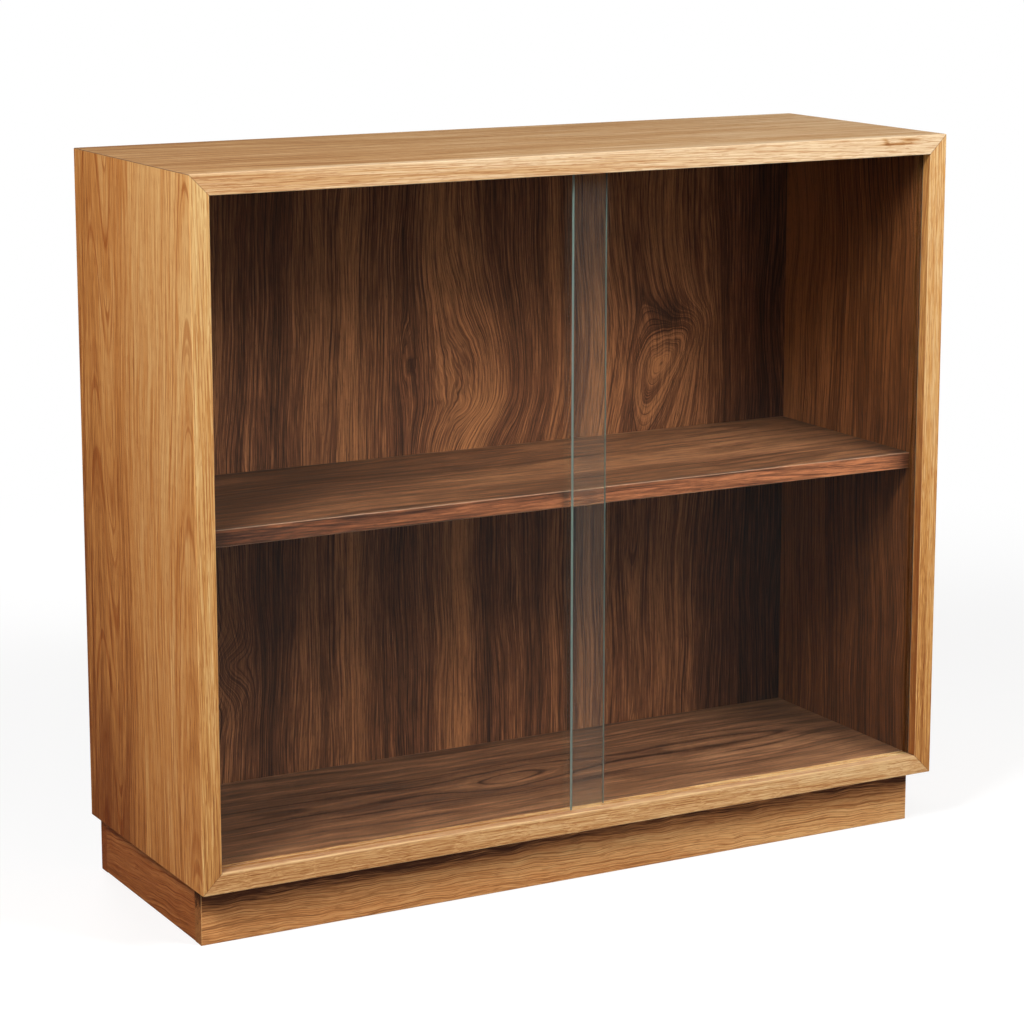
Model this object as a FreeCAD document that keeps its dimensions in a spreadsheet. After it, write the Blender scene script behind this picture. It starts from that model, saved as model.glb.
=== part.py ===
import FreeCAD, Part
import Sketcher
import os

Vector = FreeCAD.Vector
Rotation = FreeCAD.Rotation

# Bookcase with two sliding glass doors, in millimetres.
# +X runs to the right along the front, +Y to the back, +Z up. The origin is on the floor,
# under the middle of the case, and the doors face -Y.

doc = FreeCAD.newDocument("Bookcase")

# ---------------------------------------------------------------------------
# Driving dimensions
# ---------------------------------------------------------------------------

SIZES = [
    # Case: four oak boards, mitred at the corners
    ("case_width", 1040),
    ("case_depth", 358),
    ("case_height", 843),
    ("panel_thick", 25),
    ("arris_round", 1.2),
    # Walnut boards let into the inside of the case, flush with its oak lip
    ("lining_thick", 6),
    # Two grooves for the panes: the land in front of them, the ridge between them and the
    # strip of oak behind them
    ("track_land", 14.5),
    ("track_divider", 2.8),
    ("track_back_land", 1.5),
    ("lower_groove_depth", 5),
    ("upper_groove_depth", 12),
    ("jamb_groove_depth", 3),
    ("glide_thick", 1.5),
    # Glass doors
    ("pane_thick", 5),
    ("pane_side_gap", 0.3),
    ("pane_foot_gap", 0.2),
    ("pane_head_entry", 7),
    ("pane_jamb_gap", 0.5),
    ("pane_corner_round", 2),
    ("pane_edge_bevel", 0.5),
    ("door_overlap", 50),
    ("meeting_offset", 8),
    # Shelf, housed in the side linings
    ("shelf_thick", 21),
    ("shelf_setback", 31.5),
    ("shelf_tongue", 12),
    ("shelf_housing_depth", 4),
    ("shelf_shoulder", 10),
    ("shelf_round", 1.5),
    ("lower_bay_height", 382),
    # Back panel, held in a groove round the case
    ("back_thick", 12),
    ("back_recess", 20),
    ("back_groove_depth", 6),
    ("back_edge_gap", 1),
    ("back_face_gap", 0.2),
    # Loose splines across the mitres
    ("spline_thick", 5),
    ("spline_width", 16),
    ("spline_inset", 10),
    ("spline_cover", 15),
    ("spline_end_gap", 0.5),
    # Plinth
    ("plinth_height", 73),
    ("plinth_thick", 19),
    ("plinth_front_inset", 35),
    ("plinth_side_inset", 12),
    ("bearer_lift", 8),
    ("bearer_housing", 5),
    ("block_leg", 45),
    ("block_height", 50),
    ("block_nib", 6),
    # Countersunk wood screws that hold the plinth to the case
    ("screw_shank", 4.2),
    ("screw_head", 8.4),
    ("screw_tip", 5),
    ("screw_bite", 13),
    ("screw_gap", 0.05),
    ("screw_offset", 15),
    ("pilot_extra", 1),
]

sheet = doc.addObject("Spreadsheet::Sheet", "Sizes")
for row, (alias, number) in enumerate(SIZES, start=1):
    sheet.set(f"A{row}", alias)
    sheet.set(f"B{row}", str(number))
    sheet.setAlias(f"B{row}", alias)
doc.recompute()

# How far a cutter runs out past the edge of the board that it cuts.
RUNOUT = 5

# Two places closer than this are the same place, and a cut takes at least this much, in mm3.
SAME_PLACE = 1e-4
LEAST_CUT = 1

# ---------------------------------------------------------------------------
# Places that several pieces share, as expressions on the sheet
# ---------------------------------------------------------------------------

HALF_WIDTH = "(Sizes.case_width / 2)"
FRONT = "(-Sizes.case_depth / 2)"
REAR = "(Sizes.case_depth / 2)"
CASE_TOP = "(Sizes.plinth_height + Sizes.case_height)"
CASE_MIDDLE = "(Sizes.plinth_height + Sizes.case_height / 2)"
OAK_THICK = "(Sizes.panel_thick - Sizes.lining_thick)"
OPENING_HALF = f"({HALF_WIDTH} - Sizes.panel_thick)"
OAK_HALF = f"({HALF_WIDTH} - {OAK_THICK})"

GROOVE_WIDTH = "(Sizes.pane_thick + 2 * Sizes.pane_side_gap)"
FRONT_GROOVE = f"({FRONT} + Sizes.track_land)"
DIVIDER = f"({FRONT_GROOVE} + {GROOVE_WIDTH})"
REAR_GROOVE = f"({DIVIDER} + Sizes.track_divider)"
BACK_LAND = f"({REAR_GROOVE} + {GROOVE_WIDTH})"
SILL_BACK = f"({BACK_LAND} + Sizes.track_back_land)"

BACK_REAR_FACE = f"({REAR} - Sizes.back_recess)"
BACK_FRONT_FACE = f"({BACK_REAR_FACE} - Sizes.back_thick)"

SHELF_FRONT = f"({FRONT} + Sizes.shelf_setback)"
SHELF_SHOULDER = f"({SHELF_FRONT} + Sizes.shelf_shoulder)"
SHELF_UNDERSIDE = "(Sizes.plinth_height + Sizes.panel_thick + Sizes.lower_bay_height)"
TONGUE_LOW = "((Sizes.shelf_thick - Sizes.shelf_tongue) / 2)"
TONGUE_HIGH = "((Sizes.shelf_thick + Sizes.shelf_tongue) / 2)"

SPLINE_TO_FRONT = f"(-{SILL_BACK} - Sizes.spline_cover)"
SPLINE_TO_BACK = f"({BACK_FRONT_FACE} - Sizes.spline_cover)"

PLINTH_HALF = f"({HALF_WIDTH} - Sizes.plinth_side_inset)"
PLINTH_INNER_HALF = f"({PLINTH_HALF} - Sizes.plinth_thick)"
PLINTH_INNER_FRONT = f"({FRONT} + Sizes.plinth_front_inset + Sizes.plinth_thick)"
PLINTH_INNER_REAR = f"({REAR} - Sizes.plinth_thick)"
BLOCK_UNDERSIDE = "(Sizes.plinth_height - Sizes.block_height)"


def value(expression):
    """The number that an expression on the sheet gives."""
    return float(sheet.evalExpression(expression))


def minus(expression):
    return f"(-{expression})"


# ---------------------------------------------------------------------------
# Sketching and feature helpers
# ---------------------------------------------------------------------------


def new_body(name):
    body = doc.addObject("PartDesign::Body", name)
    body.Label = name
    return body


def sketch_on(body, role, name):
    """A sketch on one of the body's own origin planes."""
    plane = next(item for item in body.Origin.OriginFeatures if item.Role == role)
    sketch = body.newObject("Sketcher::SketchObject", name)
    sketch.AttachmentSupport = [(plane, "")]
    sketch.MapMode = "FlatFace"
    return sketch


def hold(sketch, direction, geometry, point, expression):
    """Ties a point of the sketch to a distance from the sketch's origin."""
    if expression == "0":
        axis = -1 if direction == "DistanceY" else -2
        sketch.addConstraint(Sketcher.Constraint("PointOnObject", geometry, point, axis))
        return
    distance = Sketcher.Constraint(direction, -1, 1, geometry, point, value(expression))
    index = sketch.addConstraint(distance)
    sketch.setExpression(f"Constraints[{index}]", expression)


def outline(sketch, corners):
    """Draws a closed outline through corners, each a pair of expressions."""
    first = sketch.GeometryCount
    count = len(corners)
    places = [Vector(value(across), value(along), 0) for across, along in corners]
    for number in range(count):
        following = (number + 1) % count
        sketch.addGeometry(Part.LineSegment(places[number], places[following]), False)
    for number in range(count):
        following = (number + 1) % count
        joint = Sketcher.Constraint("Coincident", first + number, 2, first + following, 1)
        sketch.addConstraint(joint)
        if corners[number][0] == corners[following][0]:
            sketch.addConstraint(Sketcher.Constraint("Vertical", first + number))
        if corners[number][1] == corners[following][1]:
            sketch.addConstraint(Sketcher.Constraint("Horizontal", first + number))
    for number in range(count):
        previous = (number - 1) % count
        if corners[number][0] != corners[previous][0]:
            hold(sketch, "DistanceX", first + number, 1, corners[number][0])
        if corners[number][1] != corners[previous][1]:
            hold(sketch, "DistanceY", first + number, 1, corners[number][1])


def rectangle(sketch, left, right, low, high):
    outline(sketch, [(left, low), (right, low), (right, high), (left, high)])


def circle(sketch, across, along, diameter):
    centre = Vector(value(across), value(along), 0)
    shape = Part.Circle(centre, Vector(0, 0, 1), value(diameter) / 2)
    index = sketch.addGeometry(shape, False)
    hold(sketch, "DistanceX", index, 3, across)
    hold(sketch, "DistanceY", index, 3, along)
    size = sketch.addConstraint(Sketcher.Constraint("Diameter", index, value(diameter)))
    sketch.setExpression(f"Constraints[{size}]", diameter)


def pad(body, sketch, name, length, sides="Symmetric"):
    feature = body.newObject("PartDesign::Pad", name)
    feature.Profile = sketch
    feature.SideType = sides
    feature.setExpression("Length", length)
    return feature


def pocket_through(body, sketch, name):
    """Cuts the sketch right through, both ways from its plane."""
    feature = body.newObject("PartDesign::Pocket", name)
    feature.Profile = sketch
    feature.SideType = "Symmetric"
    feature.Type = "ThroughAll"
    return feature


def pocket_between(body, sketch, name, to_back, to_front):
    """Cuts from a sketch on the XZ plane, a length towards +Y and one towards -Y."""
    feature = body.newObject("PartDesign::Pocket", name)
    feature.Profile = sketch
    feature.SideType = "Two sides"
    feature.Type = "Length"
    feature.Type2 = "Length"
    feature.setExpression("Length", to_back)
    feature.setExpression("Length2", to_front)
    return feature


def pocket_inwards(body, sketch, name, length):
    """Cuts a length along the sketch plane's own normal, into a board that starts there."""
    feature = body.newObject("PartDesign::Pocket", name)
    feature.Profile = sketch
    feature.SideType = "One side"
    feature.Type = "Length"
    feature.Reversed = True
    feature.setExpression("Length", length)
    return feature


def near(number, expression):
    return abs(number - value(expression)) < SAME_PLACE


def runs_along(edge, axis):
    """True of a straight edge whose ends differ along one axis only."""
    if len(edge.Vertexes) != 2:
        return False
    step = edge.Vertexes[1].Point - edge.Vertexes[0].Point
    return abs(abs(getattr(step, axis)) - step.Length) < SAME_PLACE


def edges_along(feature, axis, test=lambda point: True):
    """Names of the feature's edges along an axis, both of whose ends pass the test."""
    doc.recompute()
    return [
        f"Edge{number}"
        for number, edge in enumerate(feature.Shape.Edges, start=1)
        if runs_along(edge, axis) and all(test(vertex.Point) for vertex in edge.Vertexes)
    ]


def edges_on_plane(feature, axis, expression):
    """Names of all the feature's edges that lie in one plane square to an axis."""
    doc.recompute()
    names = []
    for number, edge in enumerate(feature.Shape.Edges, start=1):
        low = getattr(edge.BoundBox, f"{axis.upper()}Min")
        high = getattr(edge.BoundBox, f"{axis.upper()}Max")
        if near(low, expression) and near(high, expression):
            names.append(f"Edge{number}")
    return names


def fillet(body, base, name, edges, radius):
    feature = body.newObject("PartDesign::Fillet", name)
    feature.Base = (base, edges)
    feature.setExpression("Radius", radius)
    return feature


def chamfer(body, base, name, edges, size):
    feature = body.newObject("PartDesign::Chamfer", name)
    feature.Base = (base, edges)
    feature.setExpression("Size", size)
    return feature


def place(item, x="0", y="0", z="0", turn=0, about=Vector(0, 1, 0)):
    """Sets an object in the bookcase: a turn about one axis, and a bound position."""
    item.Placement = FreeCAD.Placement(Vector(0, 0, 0), Rotation(about, turn))
    for axis, expression in (("x", x), ("y", y), ("z", z)):
        if expression != "0":
            item.setExpression(f"Placement.Base.{axis}", expression)


nodes = []

# ---------------------------------------------------------------------------
# Case boards. Each is ploughed along its whole length, its ends are mitred, and a slot for
# the spline is cut square to each mitre. A board lies with its outer face on the XY plane
# and its length along X until it is placed.
# ---------------------------------------------------------------------------


def board_profile(lip_back, groove_depth):
    """The section of a case board: lip, pane grooves, rebate for the lining, back groove."""
    full = "Sizes.panel_thick"
    bed = OAK_THICK
    back_groove_floor = f"({OAK_THICK} - Sizes.back_groove_depth)"
    back_groove_rear = f"({BACK_REAR_FACE} + Sizes.back_face_gap)"
    corners = [
        (FRONT, "0"),
        (REAR, "0"),
        (REAR, bed),
        (back_groove_rear, bed),
        (back_groove_rear, back_groove_floor),
        (BACK_FRONT_FACE, back_groove_floor),
        (BACK_FRONT_FACE, bed),
        (lip_back, bed),
        (lip_back, full),
    ]
    if groove_depth:
        groove_floor = f"({full} - {groove_depth})"
        corners += [
            (BACK_LAND, full),
            (BACK_LAND, groove_floor),
            (REAR_GROOVE, groove_floor),
            (REAR_GROOVE, full),
            (DIVIDER, full),
            (DIVIDER, groove_floor),
            (FRONT_GROOVE, groove_floor),
            (FRONT_GROOVE, full),
        ]
    corners.append((FRONT, full))
    return corners


def mitre_cut(half_length, side):
    """What the saw takes off one end: the mitre, and the eased tip square to it."""
    eased = "Sizes.arris_round"
    end = half_length
    full = "Sizes.panel_thick"
    points = [
        (f"({end} - {eased} - {RUNOUT})", f"(-{RUNOUT})"),
        (f"({end} - {eased} / 2)", f"({eased} / 2)"),
        (f"({end} - {full} - {RUNOUT})", f"({full} + {RUNOUT})"),
        (f"({end} + {RUNOUT})", f"({full} + {RUNOUT})"),
        (f"({end} + {RUNOUT})", f"(-{RUNOUT})"),
    ]
    return [(across if side > 0 else minus(across), along) for across, along in points]


def spline_slot(half_length, side):
    """The slot for the spline, square to the mitre face at one end of a board."""
    centre_x = f"({half_length} - {OAK_THICK} + Sizes.spline_inset / sqrt(2))"
    centre_z = f"({OAK_THICK} - Sizes.spline_inset / sqrt(2))"
    half_thick = "(Sizes.spline_thick / 2 / sqrt(2))"
    depth = "((Sizes.spline_width / 2 + Sizes.spline_end_gap) / sqrt(2))"
    mouth = f"({RUNOUT} / sqrt(2))"
    points = [
        (f"({centre_x} + {half_thick} + {mouth})", f"({centre_z} - {half_thick} + {mouth})"),
        (f"({centre_x} - {half_thick} + {mouth})", f"({centre_z} + {half_thick} + {mouth})"),
        (f"({centre_x} - {half_thick} - {depth})", f"({centre_z} + {half_thick} - {depth})"),
        (f"({centre_x} + {half_thick} - {depth})", f"({centre_z} - {half_thick} - {depth})"),
    ]
    return [(across if side > 0 else minus(across), along) for across, along in points]


def case_board(name, length, lip_back, groove_depth=None, pilots=False):
    body = new_body(name)
    section = sketch_on(body, "YZ_Plane", f"{name}_section")
    outline(section, board_profile(lip_back, groove_depth))
    blank = pad(body, section, f"{name}_blank", length)

    def is_arris(point):
        at_front = near(point.y, FRONT) and (near(point.z, "0") or near(point.z, "Sizes.panel_thick"))
        at_rear = near(point.y, REAR) and (near(point.z, "0") or near(point.z, OAK_THICK))
        return at_front or at_rear

    fillet(body, blank, f"{name}_arrises", edges_along(blank, "x", is_arris), "Sizes.arris_round")

    half_length = f"({length} / 2)"
    mitres = sketch_on(body, "XZ_Plane", f"{name}_mitre_lines")
    outline(mitres, mitre_cut(half_length, 1))
    outline(mitres, mitre_cut(half_length, -1))
    pocket_through(body, mitres, f"{name}_mitres")

    slots = sketch_on(body, "XZ_Plane", f"{name}_slot_lines")
    outline(slots, spline_slot(half_length, 1))
    outline(slots, spline_slot(half_length, -1))
    pocket_between(body, slots, f"{name}_slots", SPLINE_TO_BACK, SPLINE_TO_FRONT)

    if pilots:
        marks = sketch_on(body, "XY_Plane", f"{name}_pilot_marks")
        bore = "(Sizes.screw_shank + 2 * Sizes.screw_gap)"
        for across, along in screw_places():
            circle(marks, across, along, bore)
        deep = "(Sizes.screw_bite + Sizes.pilot_extra)"
        pocket_inwards(body, marks, f"{name}_pilots", deep)
    nodes.append(body)
    return body


def screw_places():
    """Where the four plinth screws stand, seen from above."""
    across = f"({PLINTH_INNER_HALF} - Sizes.screw_offset)"
    front = f"({PLINTH_INNER_FRONT} + Sizes.screw_offset)"
    rear = f"({PLINTH_INNER_REAR} - Sizes.screw_offset)"
    return [(minus(across), front), (across, front), (across, rear), (minus(across), rear)]


bottom = case_board("case_bottom", "Sizes.case_width", SILL_BACK, "Sizes.lower_groove_depth", pilots=True)
place(bottom, z="Sizes.plinth_height")
top = case_board("case_top", "Sizes.case_width", SILL_BACK, "Sizes.upper_groove_depth")
place(top, z=CASE_TOP, turn=180)
left_side = case_board("case_side_left", "Sizes.case_height", FRONT_GROOVE)
place(left_side, x=minus(HALF_WIDTH), z=CASE_MIDDLE, turn=90)
right_side = case_board("case_side_right", "Sizes.case_height", FRONT_GROOVE)
place(right_side, x=HALF_WIDTH, z=CASE_MIDDLE, turn=-90)

# ---------------------------------------------------------------------------
# Splines: flat strips glued into the slots, across each mitre.
# ---------------------------------------------------------------------------

SPLINE_X = f"({OAK_HALF} + Sizes.spline_inset / sqrt(2))"
SPLINE_RISE = f"({OAK_THICK} - Sizes.spline_inset / sqrt(2))"
SPLINE_LOW = f"(Sizes.plinth_height + {SPLINE_RISE})"
SPLINE_HIGH = f"({CASE_TOP} - {SPLINE_RISE})"


def mitre_spline(corner, x, z, turn):
    body = new_body(f"mitre_spline_{corner}")
    section = sketch_on(body, "XY_Plane", f"spline_{corner}_outline")
    half = "(Sizes.spline_width / 2)"
    rectangle(section, minus(half), half, minus(SPLINE_TO_FRONT), SPLINE_TO_BACK)
    pad(body, section, f"spline_{corner}_strip", "Sizes.spline_thick")
    place(body, x=x, z=z, turn=turn)
    nodes.append(body)


mitre_spline("top_left", minus(SPLINE_X), SPLINE_HIGH, -45)
mitre_spline("top_right", SPLINE_X, SPLINE_HIGH, 45)
mitre_spline("bottom_left", minus(SPLINE_X), SPLINE_LOW, 45)
mitre_spline("bottom_right", SPLINE_X, SPLINE_LOW, -45)

# ---------------------------------------------------------------------------
# Linings. The side linings stand on the oak of the case bottom and are notched round its sill
# and head. The two pane grooves carry on up their faces; the first is open to the oak lip. A
# stopped housing takes the tongue of the shelf. The floor and the ceiling fit between them.
# ---------------------------------------------------------------------------


def level_lining(name, z, turn):
    body = new_body(name)
    plan = sketch_on(body, "XY_Plane", f"{name}_plan")
    rectangle(plan, minus(OPENING_HALF), OPENING_HALF, SILL_BACK, BACK_FRONT_FACE)
    pad(body, plan, f"{name}_board", "Sizes.lining_thick", sides="One side")
    place(body, z=z, turn=turn)
    nodes.append(body)


level_lining("floor_lining", f"(Sizes.plinth_height + {OAK_THICK})", 0)
level_lining("ceiling_lining", f"({CASE_TOP} - {OAK_THICK})", 180)


def side_lining(name, x, turn, up):
    """A side lining. Its length lies along X, and up says which end is the upper one."""
    body = new_body(name)
    face = "Sizes.lining_thick"
    groove_floor = "(Sizes.lining_thick - Sizes.jamb_groove_depth)"
    section = sketch_on(body, "YZ_Plane", f"{name}_section")
    corners = [
        (FRONT_GROOVE, "0"),
        (BACK_FRONT_FACE, "0"),
        (BACK_FRONT_FACE, face),
        (BACK_LAND, face),
        (BACK_LAND, groove_floor),
        (REAR_GROOVE, groove_floor),
        (REAR_GROOVE, face),
        (DIVIDER, face),
        (DIVIDER, groove_floor),
        (FRONT_GROOVE, groove_floor),
    ]
    outline(section, corners)
    half_length = f"(Sizes.case_height / 2 - {OAK_THICK})"
    pad(body, section, f"{name}_board", f"2 * {half_length}")

    notches = sketch_on(body, "XY_Plane", f"{name}_notch_lines")
    shoulder = "(Sizes.case_height / 2 - Sizes.panel_thick)"
    past_end = f"({half_length} + {RUNOUT})"
    past_front = f"({FRONT_GROOVE} - {RUNOUT})"
    rectangle(notches, shoulder, past_end, past_front, SILL_BACK)
    rectangle(notches, minus(past_end), minus(shoulder), past_front, SILL_BACK)
    pocket_through(body, notches, f"{name}_notches")

    housing = sketch_on(body, "XZ_Plane", f"{name}_housing_lines")
    low = f"({SHELF_UNDERSIDE} + {TONGUE_LOW} - {CASE_MIDDLE})"
    high = f"({SHELF_UNDERSIDE} + {TONGUE_HIGH} - {CASE_MIDDLE})"
    ends = (low, high) if up > 0 else (minus(high), minus(low))
    housing_floor = "(Sizes.lining_thick - Sizes.shelf_housing_depth)"
    rectangle(housing, ends[0], ends[1], housing_floor, f"(Sizes.lining_thick + {RUNOUT})")
    to_back = f"({BACK_FRONT_FACE} + {RUNOUT})"
    pocket_between(body, housing, f"{name}_housing", to_back, minus(SHELF_SHOULDER))
    place(body, x=x, z=CASE_MIDDLE, turn=turn)
    nodes.append(body)


side_lining("side_lining_left", minus(OAK_HALF), 90, -1)
side_lining("side_lining_right", OAK_HALF, -90, 1)

# ---------------------------------------------------------------------------
# Back panel: a flat board whose edges stand in the groove round the case.
# ---------------------------------------------------------------------------

back_panel = new_body("back_panel")
back_face = sketch_on(back_panel, "XZ_Plane", "back_panel_face")
IN_GROOVE = "(Sizes.back_groove_depth - Sizes.back_edge_gap)"
back_half_width = f"({OAK_HALF} + {IN_GROOVE})"
back_half_height = f"(Sizes.case_height / 2 - {OAK_THICK} + {IN_GROOVE})"
rectangle(back_face, minus(back_half_width), back_half_width, minus(back_half_height), back_half_height)
pad(back_panel, back_face, "back_panel_board", "Sizes.back_thick")
place(back_panel, y=f"({BACK_REAR_FACE} - Sizes.back_thick / 2)", z=CASE_MIDDLE)
nodes.append(back_panel)

# ---------------------------------------------------------------------------
# Shelf: a board with rounded front arrises and a tongue at each end. The tongues stand in
# the housings, and start behind the shelf's front so that its shoulders hide them.
# ---------------------------------------------------------------------------

shelf = new_body("shelf")
shelf_plan = sketch_on(shelf, "XY_Plane", "shelf_plan")
rectangle(shelf_plan, minus(OPENING_HALF), OPENING_HALF, SHELF_FRONT, BACK_FRONT_FACE)
shelf_board = pad(shelf, shelf_plan, "shelf_board", "Sizes.shelf_thick", sides="One side")
front_arrises = edges_along(shelf_board, "x", lambda point: near(point.y, SHELF_FRONT))
fillet(shelf, shelf_board, "shelf_arrises", front_arrises, "Sizes.shelf_round")
tongue_section = sketch_on(shelf, "YZ_Plane", "shelf_tongue_section")
rectangle(tongue_section, SHELF_SHOULDER, BACK_FRONT_FACE, TONGUE_LOW, TONGUE_HIGH)
pad(shelf, tongue_section, "shelf_tongues", f"2 * ({OPENING_HALF} + Sizes.shelf_housing_depth)")
place(shelf, z=SHELF_UNDERSIDE)
nodes.append(shelf)

# ---------------------------------------------------------------------------
# Glide strips: thin strips laid in the two lower grooves, on which the panes run.
# ---------------------------------------------------------------------------

GROOVE_REACH = f"({OPENING_HALF} + Sizes.jamb_groove_depth)"
GLIDE_UNDERSIDE = "(Sizes.plinth_height + Sizes.panel_thick - Sizes.lower_groove_depth)"


def glide_strip(name, groove):
    strip = doc.addObject("Part::Box", name)
    strip.Label = name
    strip.setExpression("Length", f"2 * {GROOVE_REACH}")
    strip.setExpression("Width", GROOVE_WIDTH)
    strip.setExpression("Height", "Sizes.glide_thick")
    place(strip, x=minus(GROOVE_REACH), y=groove, z=GLIDE_UNDERSIDE)
    nodes.append(strip)


glide_strip("front_glide_strip", FRONT_GROOVE)
glide_strip("rear_glide_strip", REAR_GROOVE)

# ---------------------------------------------------------------------------
# Glass doors. The right door runs in the front grooves and the left door in the rear ones.
# Each stands in the upper groove by less than the groove is deep, so that it can be lifted
# out of the lower one.
# ---------------------------------------------------------------------------

PANE_REACH = f"({GROOVE_REACH} - Sizes.pane_jamb_gap)"
PANE_FOOT = f"({GLIDE_UNDERSIDE} + Sizes.glide_thick + Sizes.pane_foot_gap)"
PANE_HEAD = f"({CASE_TOP} - Sizes.panel_thick + Sizes.pane_head_entry)"
PANE_HEIGHT = f"({PANE_HEAD} - {PANE_FOOT})"


def glass_door(name, left, right, groove):
    body = new_body(name)
    width = f"({right} - {left})"
    face = sketch_on(body, "XZ_Plane", f"{name}_face")
    half_width = f"({width} / 2)"
    half_height = f"({PANE_HEIGHT} / 2)"
    rectangle(face, minus(half_width), half_width, minus(half_height), half_height)
    sheet_of_glass = pad(body, face, f"{name}_sheet", "Sizes.pane_thick")

    corners = edges_along(sheet_of_glass, "y")
    rounded = fillet(body, sheet_of_glass, f"{name}_corners", corners, "Sizes.pane_corner_round")
    half_thick = "(Sizes.pane_thick / 2)"
    rims = edges_on_plane(rounded, "y", half_thick) + edges_on_plane(rounded, "y", minus(half_thick))
    chamfer(body, rounded, f"{name}_ground_edges", rims, "Sizes.pane_edge_bevel")
    middle = f"(({left} + {right}) / 2)"
    place(body, x=middle, y=f"({groove} + {GROOVE_WIDTH} / 2)", z=f"({PANE_FOOT} + {PANE_HEIGHT} / 2)")
    nodes.append(body)


right_door_edge = "(Sizes.meeting_offset - Sizes.door_overlap / 2)"
left_door_edge = "(Sizes.meeting_offset + Sizes.door_overlap / 2)"
glass_door("right_door_glass", right_door_edge, PANE_REACH, FRONT_GROOVE)
glass_door("left_door_glass", minus(PANE_REACH), left_door_edge, REAR_GROOVE)

# ---------------------------------------------------------------------------
# Plinth. The front and back boards run the full length and cover the ends of the side
# boards. A bearer under the middle of the case is housed in both.
# ---------------------------------------------------------------------------


def long_plinth_board(name, y, turn):
    """A plinth board with its inner face on the XZ plane and its outer face towards -Y."""
    body = new_body(name)
    outer = minus("Sizes.plinth_thick")
    section = sketch_on(body, "YZ_Plane", f"{name}_section")
    rectangle(section, outer, "0", "0", "Sizes.plinth_height")
    board = pad(body, section, f"{name}_board", f"2 * {PLINTH_HALF}")

    foot = edges_along(board, "x", lambda point: near(point.y, outer) and near(point.z, "0"))
    ends = edges_along(board, "z", lambda point: near(point.y, outer))
    fillet(body, board, f"{name}_arrises", foot + ends, "Sizes.arris_round")

    housing = sketch_on(body, "XZ_Plane", f"{name}_housing_lines")
    half = "(Sizes.plinth_thick / 2)"
    rectangle(housing, minus(half), half, "Sizes.bearer_lift", f"(Sizes.plinth_height + {RUNOUT})")
    pocket_inwards(body, housing, f"{name}_housing", "Sizes.bearer_housing")
    place(body, y=y, turn=turn, about=Vector(0, 0, 1))
    nodes.append(body)


def side_plinth_board(name, x, turn):
    """A plinth board between the long ones, its outer face on the YZ plane, centred along Y."""
    body = new_body(name)
    section = sketch_on(body, "XZ_Plane", f"{name}_section")
    rectangle(section, "0", "Sizes.plinth_thick", "0", "Sizes.plinth_height")
    board = pad(body, section, f"{name}_board", f"({PLINTH_INNER_REAR} - {PLINTH_INNER_FRONT})")
    foot = edges_along(board, "y", lambda point: near(point.x, "0") and near(point.z, "0"))
    fillet(body, board, f"{name}_arris", foot, "Sizes.arris_round")
    middle = f"(({PLINTH_INNER_REAR} + {PLINTH_INNER_FRONT}) / 2)"
    place(body, x=x, y=middle, turn=turn, about=Vector(0, 0, 1))
    nodes.append(body)


long_plinth_board("plinth_front", PLINTH_INNER_FRONT, 0)
long_plinth_board("plinth_back", PLINTH_INNER_REAR, 180)
side_plinth_board("plinth_side_left", minus(PLINTH_HALF), 0)
side_plinth_board("plinth_side_right", PLINTH_HALF, 180)

bearer = doc.addObject("Part::Box", "plinth_bearer")
bearer.Label = "plinth_bearer"
bearer.setExpression("Length", "Sizes.plinth_thick")
bearer.setExpression("Width", f"{PLINTH_INNER_REAR} - {PLINTH_INNER_FRONT} + 2 * Sizes.bearer_housing")
bearer.setExpression("Height", "Sizes.plinth_height - Sizes.bearer_lift")
bearer_front = f"({PLINTH_INNER_FRONT} - Sizes.bearer_housing)"
place(bearer, x="(-Sizes.plinth_thick / 2)", y=bearer_front, z="Sizes.bearer_lift")
nodes.append(bearer)

# ---------------------------------------------------------------------------
# Corner blocks, glued into the plinth's corners and screwed up into the case bottom.
# ---------------------------------------------------------------------------


def corner_block(corner, x, y, turn):
    """A triangular block with blunt ends, its right angle at the origin."""
    body = new_body(f"corner_block_{corner}")
    plan = sketch_on(body, "XY_Plane", f"block_{corner}_plan")
    leg = "Sizes.block_leg"
    nib = "Sizes.block_nib"
    outline(plan, [("0", "0"), (leg, "0"), (leg, nib), (nib, leg), ("0", leg)])
    pad(body, plan, f"block_{corner}_wood", "Sizes.block_height", sides="One side")

    marks = sketch_on(body, "XY_Plane", f"block_{corner}_mark")
    bore = "(Sizes.screw_shank + 2 * Sizes.screw_gap)"
    circle(marks, "Sizes.screw_offset", "Sizes.screw_offset", bore)
    bored = pocket_through(body, marks, f"block_{corner}_bore")
    foot = edges_on_plane(bored, "z", "0")
    mouth = [edge for edge in foot if bored.Shape.getElement(edge).Curve.TypeId == "Part::GeomCircle"]
    sink = "((Sizes.screw_head - Sizes.screw_shank) / 2)"
    chamfer(body, bored, f"block_{corner}_countersink", mouth, sink)
    place(body, x=x, y=y, z=BLOCK_UNDERSIDE, turn=turn, about=Vector(0, 0, 1))
    nodes.append(body)


corner_block("front_left", minus(PLINTH_INNER_HALF), PLINTH_INNER_FRONT, 0)
corner_block("front_right", PLINTH_INNER_HALF, PLINTH_INNER_FRONT, 90)
corner_block("back_right", PLINTH_INNER_HALF, PLINTH_INNER_REAR, 180)
corner_block("back_left", minus(PLINTH_INNER_HALF), PLINTH_INNER_REAR, 270)

# ---------------------------------------------------------------------------
# Plinth screws: countersunk head below, pointed tip in the case bottom.
# ---------------------------------------------------------------------------

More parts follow.
